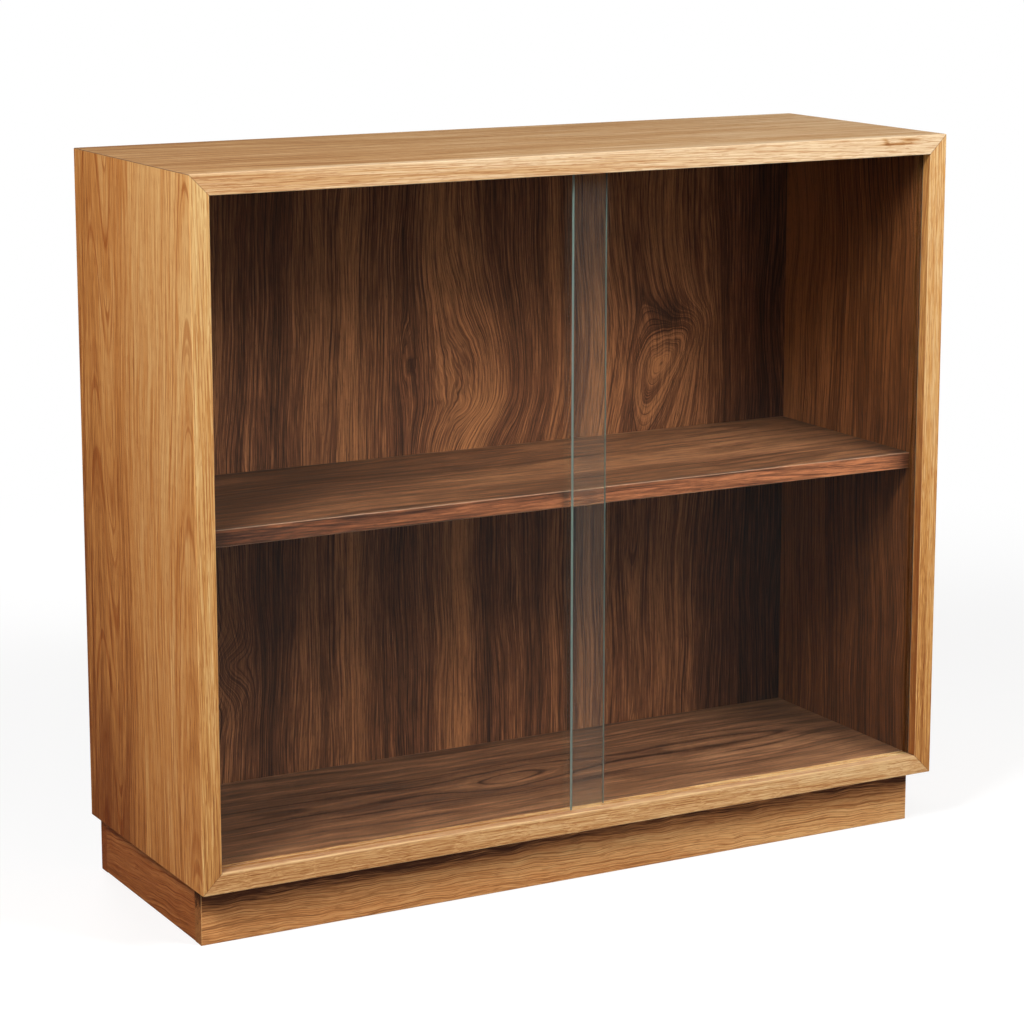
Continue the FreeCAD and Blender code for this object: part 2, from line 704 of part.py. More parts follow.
screws = []
for number, (screw_x, screw_y) in enumerate(screw_places(), start=1):
    screw = new_body(f"plinth_screw_{number}")
    half_section = sketch_on(screw, "XZ_Plane", f"screw_{number}_section")
    head = "(Sizes.screw_head / 2)"
    shank = "(Sizes.screw_shank / 2)"
    length = "(Sizes.block_height + Sizes.screw_bite)"
    screw_outline = [
        ("0", "0"),
        (head, "0"),
        (shank, f"({head} - {shank})"),
        (shank, f"({length} - Sizes.screw_tip)"),
        ("0", length),
    ]
    outline(half_section, screw_outline)
    turned = screw.newObject("PartDesign::Revolution", f"screw_{number}_turned")
    turned.Profile = half_section
    turned.ReferenceAxis = (half_section, ["V_Axis"])
    turned.Angle = 360
    place(screw, x=screw_x, y=screw_y, z=BLOCK_UNDERSIDE)
    screws.append(screw)

plinth_screws = doc.addObject("Part::Compound", "plinth_screws")
plinth_screws.Label = "plinth_screws"
plinth_screws.Links = screws
nodes.append(plinth_screws)

# ---------------------------------------------------------------------------
# Check the model, then write one STEP file for each piece.
# ---------------------------------------------------------------------------

doc.recompute()

for item in doc.Objects:
    if "Invalid" in item.State or "Error" in item.State:
        raise RuntimeError(f"{item.Name} is {item.State}")
    if item.TypeId == "PartDesign::Pocket":
        if item.BaseFeature.Shape.Volume - item.Shape.Volume < LEAST_CUT:
            raise RuntimeError(f"{item.Name} cuts nothing")

for node in nodes:
    if node.Shape.isNull() or not node.Shape.isValid():
        raise RuntimeError(f"{node.Label} has no valid shape")

os.makedirs("parts", exist_ok=True)
for node in nodes:
    node.Shape.exportStep(f"parts/{node.Label}.step")

box = Part.makeCompound([node.Shape for node in nodes]).BoundBox
print(f"{len(nodes)} pieces, {box.XLength:.1f} x {box.YLength:.1f} x {box.ZLength:.1f} mm")
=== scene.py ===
import math

import bmesh
import bpy
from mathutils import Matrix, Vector


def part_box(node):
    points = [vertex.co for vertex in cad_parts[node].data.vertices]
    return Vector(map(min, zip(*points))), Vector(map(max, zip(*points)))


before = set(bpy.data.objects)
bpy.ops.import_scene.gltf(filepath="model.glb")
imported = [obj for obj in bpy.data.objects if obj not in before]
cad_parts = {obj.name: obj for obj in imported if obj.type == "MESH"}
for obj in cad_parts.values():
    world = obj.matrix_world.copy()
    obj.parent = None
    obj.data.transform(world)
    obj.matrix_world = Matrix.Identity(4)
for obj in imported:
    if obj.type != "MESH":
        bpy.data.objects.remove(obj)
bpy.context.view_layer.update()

# ---------------------------------------------------------------------------
# Case boards: four oak boards, 25 mm thick, mitred and splined at the corners.
# Straight-grained honey oak, planed, sanded and wiped with a satin oil. The
# glue line of each mitre shows as a hair line.
# ---------------------------------------------------------------------------


class Finish:
    """A surface finish in the making. Each call adds a shader node and gives its output."""

    SQUARE_ON = 0.9  # how far a face must look along an axis to count as looking that way

    def __init__(self, name):
        self.material = bpy.data.materials.new(name)
        self.material.use_nodes = True
        self.nodes = self.material.node_tree.nodes
        self.links = self.material.node_tree.links
        self.surface = self.nodes["Principled BSDF"]

    def feed(self, socket, value):
        if isinstance(value, bpy.types.NodeSocket):
            self.links.new(value, socket)
        else:
            socket.default_value = value

    def shader(self, **values):
        """Sets the surface's own sockets, which are named with _ for each space."""
        for name, value in values.items():
            self.feed(self.surface.inputs[name.replace("_", " ")], value)

    def maths(self, operation, *values):
        node = self.nodes.new("ShaderNodeMath")
        node.operation = operation
        for socket, value in zip(node.inputs, values):
            self.feed(socket, value)
        return node.outputs[0]

    def total(self, first, *others):
        for other in others:
            first = self.maths("ADD", first, other)
        return first

    def times(self, value, factor):
        return self.maths("MULTIPLY", value, factor)

    def less(self, value, taken):
        return self.maths("SUBTRACT", value, taken)

    def point(self, x, y, z):
        node = self.nodes.new("ShaderNodeCombineXYZ")
        for socket, value in zip(node.inputs, (x, y, z)):
            self.feed(socket, value)
        return node.outputs[0]

    def object_place(self):
        """X, Y and Z of the shaded point in the bookcase, in metres."""
        node = self.nodes.new("ShaderNodeSeparateXYZ")
        self.feed(node.inputs[0], self.nodes.new("ShaderNodeTexCoord").outputs["Object"])
        return dict(zip("xyz", node.outputs))

    def facing(self, axis, way=0):
        """1 on faces that look along X, Y or Z and 0 on the others.

        A way of 1 or -1 takes only those that look up or down the axis.
        """
        node = self.nodes.new("ShaderNodeSeparateXYZ")
        self.feed(node.inputs[0], self.nodes.new("ShaderNodeTexCoord").outputs["Normal"])
        along = node.outputs[axis.upper()]
        along = self.times(along, way) if way else self.maths("ABSOLUTE", along)
        return self.maths("GREATER_THAN", along, self.SQUARE_ON)

    def arris(self):
        """1 on the rounded arrises and 0 on the flat faces."""
        flat = self.total(*(self.facing(axis) for axis in "xyz"))
        return self.maths("LESS_THAN", flat, 0.5)

    def noise(self, place, detail=2.0, roughness=0.5):
        node = self.nodes.new("ShaderNodeTexNoise")
        self.feed(node.inputs["Vector"], place)
        self.feed(node.inputs["Scale"], 1.0)
        self.feed(node.inputs["Detail"], detail)
        self.feed(node.inputs["Roughness"], roughness)
        return node.outputs["Fac"]

    def step(self, value, low, high):
        """0 up to low, 1 from high on and smooth between them."""
        node = self.nodes.new("ShaderNodeMapRange")
        node.interpolation_type = "SMOOTHSTEP"
        for socket, given in zip(node.inputs, (value, low, high)):
            self.feed(socket, given)
        return node.outputs[0]

    def shades(self, value, *stops):
        """A colour ramp through stops, each a position and a linear colour."""
        node = self.nodes.new("ShaderNodeValToRGB")
        self.feed(node.inputs[0], value)
        elements = node.color_ramp.elements
        while len(elements) < len(stops):
            elements.new(1.0)
        for element, (position, colour) in zip(elements, stops):
            element.position = position
            element.color = (*colour, 1.0)
        return node.outputs[0]

    def blend(self, share, first, second, way="MIX"):
        """The first colour where share is 0 and the second one where it is 1."""
        node = self.nodes.new("ShaderNodeMix")
        node.data_type = "RGBA"
        node.blend_type = way
        for index, value in ((0, share), (6, first), (7, second)):
            self.feed(node.inputs[index], value)
        return node.outputs[2]

    def tinted(self, colour, tint):
        return self.blend(1.0, colour, (*tint, 1), "MULTIPLY")

    def relief(self, height, depth):
        """Bump from a height of 0 to 1 that is worth depth metres."""
        node = self.nodes.new("ShaderNodeBump")
        self.feed(node.inputs["Height"], height)
        self.feed(node.inputs["Distance"], depth)
        self.feed(self.surface.inputs["Normal"], node.outputs[0])


def wear(finish, *nodes):
    """Gives CAD nodes a finish in place of their plain one."""
    for name in nodes:
        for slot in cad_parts[name].material_slots:
            slot.material = finish.material


class Board:
    """Places in one board: along its grain, across it and into it, in metres.

    tree says where in the tree the board was cut, so that no two boards are alike.
    """

    def __init__(self, finish, along, across, depth, tree):
        place = finish.object_place()
        self.finish = finish
        self.place = place
        self.along = finish.total(place[along], tree)
        self.across = finish.total(place[across], 1.7 * tree)
        self.depth = finish.total(place[depth], 2.3 * tree)

    def sway(self, length, width, reach):
        """How far the grain wanders sideways: noise of a length and a width, in metres."""
        f = self.finish
        along = f.times(self.along, 1 / length)
        across = f.times(self.across, 1 / width)
        through = f.times(self.depth, 1 / width)
        return f.times(f.total(f.noise(f.point(along, across, through), 1.0), -0.5), reach)

    def streaks(self, across, width, length, weight, detail=2.0, roughness=0.5, thick=None):
        """Streaks that follow a sideways place, worth weight either side of 0.

        Their width and length are in metres. They are as thick as wide unless thick says otherwise.
        """
        f = self.finish
        sideways = f.times(across, 1 / width)
        through = f.times(self.depth, 1 / (thick or width))
        along = f.times(self.along, 1 / length)
        return f.times(f.total(f.noise(f.point(sideways, through, along), detail, roughness), -0.5), weight)

    def rings(self, height, pitch, wander, width):
        """1 on the dark lines of the growth rings, one each pitch of height, and 0 between them."""
        f = self.finish
        wave = f.maths("PINGPONG", f.total(f.times(height, 1 / pitch), wander), 0.5)
        return f.step(wave, low=width, high=0.0)

    def band_tone(self, across, hues, shift):
        """The tone of the band at a sideways place. hues are places across the board and their tones.

        shift moves the board's places to where a colour ramp has them, between 0 and 1.
        """
        stops = [(place + shift, (tone, tone, tone)) for place, tone in hues]
        return self.finish.shades(self.finish.total(across, shift), *stops)


class Swell:
    """A place where the figure swells out by push metres, leaning by lean.

    Its reach is given to each side, above and below its middle.
    """

    def __init__(self, across, along, width, above, below, push, lean=0.0):
        self.across, self.along = across, along
        self.width, self.above, self.below = width, above, below
        self.push, self.lean = push, lean

    def at(self, finish, across, along):
        f = finish
        up = f.total(along, -self.along)
        side = f.times(f.total(across, -self.across, f.times(up, -self.lean)), 1 / self.width)
        up = f.maths("MAXIMUM", f.times(up, 1 / self.above), f.times(up, -1 / self.below))
        far = f.total(f.times(side, side), f.times(up, up))
        return f.times(f.maths("EXPONENT", f.times(far, -1.0)), self.push)


GLUE_LINE = 0.0004  # how far from the joint the glue shows at full strength, in metres
GLUE_STAIN = 0.0011  # where it has faded out
HIGHLIGHT_FULL = 0.0012  # how far from the arris the painted highlight is at full strength
HIGHLIGHT_REACH = 0.0036  # where it has faded out


def mitre_line(finish, place):
    """1 on the glue lines of the case's four mitres and 0 away from them."""
    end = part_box("case_side_right")[1].x
    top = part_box("case_top")[1].z
    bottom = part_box("case_bottom")[0].z
    from_end = finish.less(end, finish.maths("ABSOLUTE", place["x"]))
    from_top = finish.less(top, place["z"])
    from_bottom = finish.less(place["z"], bottom)
    to_upper = finish.maths("ABSOLUTE", finish.less(from_end, from_top))
    to_lower = finish.maths("ABSOLUTE", finish.less(from_end, from_bottom))
    return finish.step(finish.maths("MINIMUM", to_upper, to_lower), low=GLUE_STAIN, high=GLUE_LINE)


def highlit_arris(finish, place, board):
    """1 along a board's upper front arris, where a highlight is painted, and 0 away from it."""
    low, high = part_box(board)
    from_top = finish.less(high.z, place["z"])
    from_front = finish.total(place["y"], -low.y)
    return finish.step(finish.maths("MAXIMUM", from_top, from_front), low=HIGHLIGHT_REACH, high=HIGHLIGHT_FULL)


FIBRE_SHEEN = 0.2  # how much rougher the fibres make the oil
FIBRE_RELIEF = 0.00008


def satin_oil(finish, colour, fibres, pores, roughness, gloss):
    """A thin coat of oil, through which the fibres and the open pores are still felt."""
    finish.shader(
        Base_Color=colour,
        Roughness=finish.total(roughness, finish.times(fibres, FIBRE_SHEEN)),
        Specular_IOR_Level=gloss,
    )
    finish.relief(finish.total(finish.times(pores, -1.0), fibres), FIBRE_RELIEF)


OAK_RING = 0.0046  # from one growth ring to the next, in metres
OAK_CLIMB_ALONG = 0.030  # how fast the rings climb along a board
OAK_CLIMB_ACROSS = 0.7
OAK_CLIMB_THROUGH = 1.1
OAK_ARCH_HEIGHT = 0.05
OAK_ARCH_WIDTH = 0.30
OAK_FIBRE = 0.0011  # how thick a fibre is
FIBRE_LENGTH = 0.045
# How strongly the rounded arrises are painted pale: a painted highlight where they catch the light.
ARRIS_HIGHLIGHT = 0.4
SILL_GREY_BROWN = (0.25, 0.14, 0.095, 1)
GLUE_BROWN = (0.12, 0.045, 0.015, 1)
GLUE_STRENGTH = 0.85
GLUE_FAINTER_IN_FRONT = 0.42


def oak(
    name,
    along,  # the axis of its grain
    across,  # the axis of its width
    depth,  # the axis of its thickness
    tree,  # where in the tree it was cut, in metres
    tones,  # its dark, middle and pale colour
    crown=0.0,  # the place across the board that the figure arches round
    arch=0.3,  # how far it arches
    stray=1.0,  # how far its lines wander
    ripple=0.0,  # how far they wave in short waves, in metres
    drift=0.0,  # how much paler it grows per metre of its length: painted light falling off along the board, with some of the wood's own change of tone
    hues=(),  # its bands, each a place across the board and a tone from 0 to 1
    calm=0.0,  # how much weaker the bands are on the broad faces
    flat=1.0,  # how many times as wide as thick its fibres lie
    lines=(0.64, 0.42, 0.27),  # the tint of its dark lines
    edge=(1.0, 1.0, 1.0),  # the tint of its long edges
    front_drift=0.0,  # how much paler the front edge grows per metre of its length, painted light
    front_knots=(),  # swells in the figure of the front edge
    front_stains=(),  # swells that darken the front edge
    inner=0,  # which way its inner face looks
    face=0.0,  # how much paler the inner face is
    greyed=0.0,  # how far the inner face is turned a greyer brown
    case_board=None,  # the case board whose mitres show
    highlit=0.0,  # how strongly that board's upper front arris is painted pale, a painted highlight
):
    """Oiled oak. Its growth rings are layers of one height, which climbs through the whole board."""
    f = Finish(name)
    board = Board(f, along, across, depth, tree)
    place = board.place
    front = f.facing(across, -1)
    inner_face = f.facing(depth, inner)

    fibre = f.total(
        place[across],
        board.sway(length=0.9, width=0.30, reach=0.08 * stray),
        board.sway(length=0.15, width=0.07, reach=0.008),
        board.sway(length=0.045, width=0.030, reach=ripple),
    )
    curve = f.maths("COSINE", f.times(f.total(fibre, -crown), 2 * math.pi / OAK_ARCH_WIDTH))
    height = f.total(
        f.times(fibre, OAK_CLIMB_ACROSS),
        f.times(curve, OAK_ARCH_HEIGHT * arch),
        f.times(board.along, OAK_CLIMB_ALONG),
        f.times(place[depth], OAK_CLIMB_THROUGH),
    )
    for knot in front_knots:
        height = f.less(height, f.times(front, knot.at(f, place[depth], place[along])))

    bands = board.streaks(height, width=0.014, length=0.9, weight=0.7)
    streaks = board.streaks(height, width=0.0040, length=0.30, weight=0.9, detail=3.0, roughness=0.6)
    fibres = board.streaks(
        fibre,
        width=OAK_FIBRE * flat,
        length=FIBRE_LENGTH * flat,
        weight=1.4,
        roughness=0.6,
        thick=OAK_FIBRE,
    )
    rings = board.rings(height, pitch=OAK_RING, wander=f.times(bands, 2.5), width=0.18)
    late_wood = f.times(rings, f.step(streaks, low=0.12, high=-0.06))
    veins = f.step(board.streaks(height, width=0.0014, length=0.20, weight=1.0), low=0.08, high=0.15)
    pores = board.streaks(fibre, width=0.0010, length=0.022, weight=1.0, detail=1.0)
    pores = f.step(pores, low=0.08, high=0.13)

    tone = f.total(
        0.5,
        f.times(bands, f.total(1.0, f.times(f.facing(depth), -calm))),
        streaks,
        fibres,
        f.times(place[along], drift),
        f.times(inner_face, face),
        f.times(front, f.times(place[along], front_drift)),
    )
    for stain in front_stains:
        tone = f.less(tone, f.times(front, stain.at(f, place[depth], place[along])))
    if hues:
        tone = f.total(tone, -0.5, board.band_tone(fibre, hues, 0.5))

    colour = f.shades(tone, *zip((0.0, 0.50, 1.0), tones))
    dark = f.tinted(colour, lines)
    for mark, strength in ((late_wood, 0.80), (veins, 0.75), (pores, 0.55), (f.facing(along), 0.7)):
        colour = f.blend(f.times(mark, strength), colour, dark)
    colour = f.blend(f.times(inner_face, greyed), colour, SILL_GREY_BROWN)
    colour = f.blend(f.facing(across), colour, f.tinted(colour, edge))
    pale = (*tones[2], 1)
    # The rounded arrises are painted pale, a painted highlight.
    colour = f.blend(f.times(f.arris(), ARRIS_HIGHLIGHT), colour, pale)
    # A painted highlight along the upper front arris, broken by the fibres and streaks.
    if highlit:
        arris_light = f.times(highlit_arris(f, place, case_board), highlit)
        colour = f.blend(f.times(arris_light, f.total(1.0, fibres, streaks)), colour, pale)
    if case_board:
        glue = f.total(GLUE_STRENGTH, f.times(f.facing(across), -GLUE_FAINTER_IN_FRONT))
        colour = f.blend(f.times(mitre_line(f, place), glue), colour, GLUE_BROWN)
    satin_oil(f, colour, fibres, pores, roughness=0.52, gloss=0.25)
    return f


TAN = ((0.33, 0.145, 0.042), (0.56, 0.325, 0.140), (0.74, 0.55, 0.34))
TOP_HUES = ((-0.17, 0.80), (-0.15, 0.50), (0.20, 0.50))
TOP_KNOTS = [Swell(0.9090, 0.450, 0.0040, 0.030, 0.026, 0.007)]
TOP_STAINS = [
    Swell(0.9062, 0.448, 0.0015, 0.028, 0.036, 1.20),
    Swell(0.9108, 0.462, 0.0026, 0.016, 0.012, 1.05),
    Swell(0.9090, 0.428, 0.0040, 0.005, 0.007, 0.70, lean=-0.6),
]
# drift and front_drift make the board, and its front edge most, paler towards the right: painted light and
# sheen.
top_oak = oak(
    "oak_top", along="x", across="y", depth="z", tree=3.1, tones=TAN,
    crown=0.06, drift=0.4, hues=TOP_HUES, calm=0.6, flat=4.0,
    front_drift=0.22, front_knots=TOP_KNOTS, front_stains=TOP_STAINS,
    case_board="case_top", highlit=0.2,
)
wear(top_oak, "case_top")

AMBER = ((0.30, 0.105, 0.018), (0.56, 0.308, 0.120), (0.71, 0.48, 0.24))
bottom_oak = oak(
    "oak_bottom", along="x", across="y", depth="z", tree=5.4, tones=AMBER,
    ripple=0.009, drift=0.3, inner=1, greyed=0.28, case_board="case_bottom", highlit=0.38,
)
wear(bottom_oak, "case_bottom")

HONEY = ((0.25, 0.070, 0.014), (0.54, 0.215, 0.051), (0.70, 0.40, 0.150))
# Bands across the board, growing darker towards the back: partly the wood's figure and partly painted shade
# where the light falls off.
LEFT_BANDS_AND_SHADE = (
    (-0.20, 0.38), (-0.12, 0.42), (-0.02, 0.37), (0.015, 0.17),
    (0.05, 0.11), (0.09, 0.19), (0.13, 0.05), (0.20, 0.03),
)
# It grows paler upwards, painted light falling from above, and its front edge is tinted paler and greyer, a
# painted sheen.
left_oak = oak(
    "oak_side_left", along="z", across="y", depth="x", tree=8.2, tones=HONEY,
    crown=0.03, arch=0.8, drift=0.50, hues=LEFT_BANDS_AND_SHADE, flat=2.2, edge=(0.93, 1.09, 1.22),
    case_board="case_side_left",
)
wear(left_oak, "case_side_left")

STRAW = ((0.27, 0.082, 0.014), (0.58, 0.285, 0.078), (0.70, 0.47, 0.22))
RIGHT_HUES = ((-0.20, 0.31), (0.20, 0.31))
# Its inner face, the reveal behind the lip, is made darker by face, a painted shade; it grows paler upwards,
# painted light falling from above.
right_oak = oak(
    "oak_side_right", along="z", across="y", depth="x", tree=11.9, tones=STRAW,
    crown=-0.02, drift=0.5, hues=RIGHT_HUES, inner=-1, face=-0.40, case_board="case_side_right",
)
wear(right_oak, "case_side_right")

# ---------------------------------------------------------------------------
# Mitre splines: thin strips of pale wood, planed and left bare, glued across
# the mitres. They lie inside the joints.
# ---------------------------------------------------------------------------

BARE_DARK = (0.44, 0.29, 0.15)
BARE_PALE = (0.66, 0.50, 0.30)
SAW_RELIEF = 0.0002


def bare_wood(name, along, across, depth, tree):
    """Pale planed wood without oil, for what is hidden."""
    f = Finish(name)
    board = Board(f, along, across, depth, tree)
    fibre = f.total(board.place[across], board.sway(length=0.4, width=0.1, reach=0.02))
    streaks = board.streaks(fibre, width=0.004, length=0.2, weight=1.5, detail=3.0, roughness=0.6)
    colour = f.shades(f.total(0.5, streaks), (0.2, BARE_DARK), (0.8, BARE_PALE))
    f.shader(Base_Color=colour, Roughness=0.7)
    f.relief(streaks, SAW_RELIEF)
    return f


wear(
    bare_wood("spline_wood", "y", "x", "z", 1.3),
    "mitre_spline_top_left",
    "mitre_spline_top_right",
    "mitre_spline_bottom_left",
    "mitre_spline_bottom_right",
)

# ---------------------------------------------------------------------------
# Linings: dark walnut boards, 6 mm thick, let in flush behind the oak lip and
# glued. The grain stands upright on the sides and runs across on floor and top.
# ---------------------------------------------------------------------------

WALNUT_RING = 0.0062  # from one growth ring to the next, in metres
WALNUT_CLIMB_ALONG = 0.02
WALNUT_CLIMB_THROUGH = 0.8
CROWN_RADIUS = 0.02  # how round the figure is at its crown
DARK_LINES = (0.26, 0.20, 0.20)
# The pale brown of the walnut's rounded arrises, a painted highlight.
WALNUT_ARRIS_HIGHLIGHT = (0.44, 0.28, 0.19, 1)


def walnut(
    name,
    along,  # the axis of its grain
    across,  # the axis of its width
    depth,  # the axis of its thickness
    tree,  # where in the tree it was cut, in metres
    tones,  # its dark, middle and pale colour
    crown=0.9,  # the place across the board that the figure arches over
    bends=(),  # swells that push its lines sideways
    knots=(),  # swells that close them into rings
    stains=(),  # swells that darken them
    hues=(),  # its bands, each a place across the board and a tone from 0 to 1
    drift=0.0,  # how much paler it grows per metre of its length: painted light falling off along the board, with some of the wood's own change of tone
    front_drift=0.0,  # the same for its front edge alone, painted light
    coarse=1.0,  # how many times as wide as usual its lines are
    flat=1.0,  # how many times as wide as thick its fibres lie
    bold=1.0,  # how many times as strong as usual they are on the broad faces
    veined=0.5,  # how dark its thin veins are
    edge=(1.0, 1.0, 1.0),  # the tint of its long edges
):
    """Oiled walnut with a strong figure. Its growth rings are layers of one height, as in the oak."""
    f = Finish(name)
    board = Board(f, along, across, depth, tree)
    place = board.place
    side = f.total(
        place[across],
        board.sway(length=0.05, width=0.05, reach=0.010),
        board.sway(length=0.020, width=0.016, reach=0.006),
    )
    up = f.total(
        place[along],
        board.sway(length=0.07, width=0.04, reach=0.012),
        board.sway(length=0.016, width=0.020, reach=0.006),
    )
    fibre = f.total(
        place[across],
        board.sway(length=0.9, width=0.16, reach=0.05),
        board.sway(length=0.14, width=0.05, reach=0.012),
    )
    for bend in bends:
        fibre = f.less(fibre, bend.at(f, side, up))
    from_crown = f.total(fibre, -crown)
    arch = f.maths("SQRT", f.total(f.times(from_crown, from_crown), CROWN_RADIUS**2))
    height = f.total(
        arch,
        board.sway(length=0.30, width=0.60, reach=0.05),
        f.times(board.along, WALNUT_CLIMB_ALONG),
        f.times(place[depth], WALNUT_CLIMB_THROUGH * coarse),
    )
    for knot in knots:
        height = f.less(height, knot.at(f, side, up))

    bands = board.streaks(height, width=0.035 * coarse, length=1.2, weight=0.7)
    if hues:
        bands = f.total(bands, -0.5, board.band_tone(fibre, hues, 0.55))
    fine = {"detail": 3.0, "roughness": 0.6}
    streaks = board.streaks(height, width=0.0075 * coarse, length=0.50, weight=0.65, **fine)
    lines = board.streaks(height, width=0.0024 * coarse, length=0.22, weight=0.75, **fine)
    thick = 0.0005 + 0.0007 * coarse
    fibres = board.streaks(
        fibre,
        width=thick * flat,
        length=FIBRE_LENGTH * flat,
        weight=1.2,
        roughness=0.6,
        thick=thick,
    )
    rings = board.rings(height, pitch=WALNUT_RING * coarse, wander=f.times(streaks, 2.0), width=0.12)
    late_wood = f.times(rings, f.step(f.total(bands, lines), low=0.25, high=-0.10))
    veins = f.step(board.streaks(height, width=0.0015 * coarse, length=0.28, weight=1.0), low=0.06, high=0.13)
    pores = board.streaks(fibre, width=0.0010, length=0.012, weight=1.0, detail=1.0)
    pores = f.step(pores, low=0.08, high=0.18)

    tone = f.total(
        0.5,
        bands,
        f.times(f.total(streaks, lines, fibres), f.total(1.0, f.times(f.facing(depth), bold - 1.0))),
        f.times(place[along], drift),
        f.times(f.facing(across, -1), f.times(place[along], front_drift)),
    )
    for stain in stains:
        tone = f.less(tone, stain.at(f, side, up))

    colour = f.shades(tone, *zip((0.05, 0.50, 0.95), tones))
    dark = f.tinted(colour, DARK_LINES)
    for mark, strength in ((late_wood, 0.90), (veins, veined), (pores, 0.45)):
        colour = f.blend(f.times(mark, strength), colour, dark)
    colour = f.blend(f.facing(across), colour, f.tinted(colour, edge))
    # The rounded arrises are painted pale, a painted highlight.
    colour = f.blend(f.times(f.arris(), ARRIS_HIGHLIGHT), colour, WALNUT_ARRIS_HIGHLIGHT)
    satin_oil(f, colour, fibres, pores, roughness=0.54, gloss=0.15)
    return f


SMOKED = ((0.045, 0.0195, 0.0112), (0.138, 0.0545, 0.0245), (0.290, 0.1300, 0.0620))
FLOOR_EYE = [Swell(-0.01, -0.02, 0.05, 0.10, 0.08, 0.042, lean=0.25)]
FLOOR_GOLD = [Swell(-0.06, 0.33, 0.03, 0.12, 0.12, -0.15)]
floor_walnut = walnut(
    "walnut_floor", along="x", across="y", depth="z", tree=4.3, tones=SMOKED,
    crown=0.0, knots=FLOOR_EYE, stains=FLOOR_GOLD, drift=0.25, coarse=4.0, flat=1.6,
)
wear(floor_walnut, "floor_lining")

BROWN = ((0.045, 0.0190, 0.0105), (0.137, 0.0525, 0.0230), (0.315, 0.1310, 0.0590))
wear(walnut("walnut_ceiling", "x", "y", "z", 6.1, BROWN), "ceiling_lining")

RUSSET = ((0.036, 0.0110, 0.0037), (0.119, 0.0360, 0.0104), (0.275, 0.0920, 0.0285))
wear(walnut("walnut_side_left", "z", "y", "x", 9.4, RUSSET, coarse=1.6), "side_lining_left")

# The right lining grows paler towards the back corner: painted light that lifts the corner's shade.
LINING_PAINTED_LIGHT = ((-0.2, 0.38), (0.05, 0.42), (0.10, 0.60), (0.15, 0.85))
right_walnut = walnut(
    "walnut_side_right", along="z", across="y", depth="x", tree=12.6, tones=RUSSET,
    hues=LINING_PAINTED_LIGHT, drift=0.25, coarse=1.6,
)
wear(right_walnut, "side_lining_right")

# ---------------------------------------------------------------------------
# Back panel: one walnut-faced board, 12 mm thick, held in a groove round the
# case. It was cut for its figure, with knots and a flame in the upright grain.
# ---------------------------------------------------------------------------

UMBER = ((0.034, 0.0118, 0.0057), (0.136, 0.0445, 0.0170), (0.355, 0.1370, 0.0500))
BACK_BENDS = [
    Swell(0.030, 0.570, 0.075, 0.120, 0.048, 0.040),
    Swell(-0.380, 0.250, 0.080, 0.070, 0.070, 0.030),
    Swell(0.290, 0.600, 0.120, 0.120, 0.120, 0.028),
]
BACK_KNOTS = [
    Swell(0.293, 0.590, 0.042, 0.050, 0.075, 0.062, lean=0.25),
    Swell(0.336, 0.630, 0.026, 0.026, 0.044, 0.046, lean=0.5),
    Swell(-0.352, 0.250, 0.035, 0.040, 0.040, 0.045),
    Swell(-0.093, 0.624, 0.014, 0.060, 0.060, 0.012),
]
BACK_STAINS = [
    Swell(0.310, 0.652, 0.024, 0.034, 0.015, 0.55),
    Swell(0.291, 0.590, 0.030, 0.035, 0.050, -0.16),
    Swell(0.025, 0.540, 0.045, 0.040, 0.060, -0.16),
]
BACK_HUES = (
    (-0.50, 0.37), (-0.35, 0.46), (-0.27, 0.26), (-0.22, 0.66), (-0.19, 0.41), (-0.165, 0.63), (-0.12, 0.42),
    (-0.07, 0.28), (-0.03, 0.62), (0.00, 0.58), (0.03, 0.24), (0.07, 0.45), (0.11, 0.32), (0.135, 0.68),
    (0.16, 0.38), (0.19, 0.66), (0.24, 0.45), (0.31, 0.55), (0.38, 0.38), (0.43, 0.24), (0.50, 0.12),
)
back_walnut = walnut(
    "walnut_back", along="z", across="x", depth="y", tree=2.2, tones=UMBER,
    crown=0.262, bends=BACK_BENDS, knots=BACK_KNOTS, stains=BACK_STAINS, hues=BACK_HUES,
    drift=0.21, bold=1.12, veined=0.65,
)
wear(back_walnut, "back_panel")

# ---------------------------------------------------------------------------
# Shelf: a solid walnut board, 21 mm thick, with eased front arrises. It stands
# by its tongues in the side linings.
# ---------------------------------------------------------------------------

# The first darkens the shelf's right end by the side lining, a painted shade; the other two are dark marks in
# its front edge.
SHELF_MARKS_AND_SHADE = [
    Swell(0.0, 0.496, 1.0, 0.020, 0.020, 0.35),
    Swell(-0.148, -0.020, 0.004, 0.006, 0.006, 0.30),
    Swell(-0.148, 0.016, 0.004, 0.009, 0.009, 0.20),
]
# drift and front_drift make the shelf, and its front edge more, paler towards the right: painted light.
shelf_walnut = walnut(
    "walnut_shelf", along="x", across="y", depth="z", tree=7.7, tones=BROWN,
    crown=0.10, stains=SHELF_MARKS_AND_SHADE, drift=0.48, front_drift=0.30,
    coarse=3.4, bold=1.25, edge=(1.30, 1.06, 0.96),
)
wear(shelf_walnut, "shelf")

# ---------------------------------------------------------------------------
# Glide strips: smooth tan plastic strips laid in the two lower grooves. The
# panes run on them.
# ---------------------------------------------------------------------------

SCUFFS_ALONG = 12.0  # per metre
SCUFFS_ACROSS = 900.0
SCUFF_RELIEF = 0.0001
STRIP_DARK = (0.30, 0.18, 0.085)
STRIP_PALE = (0.42, 0.27, 0.14)

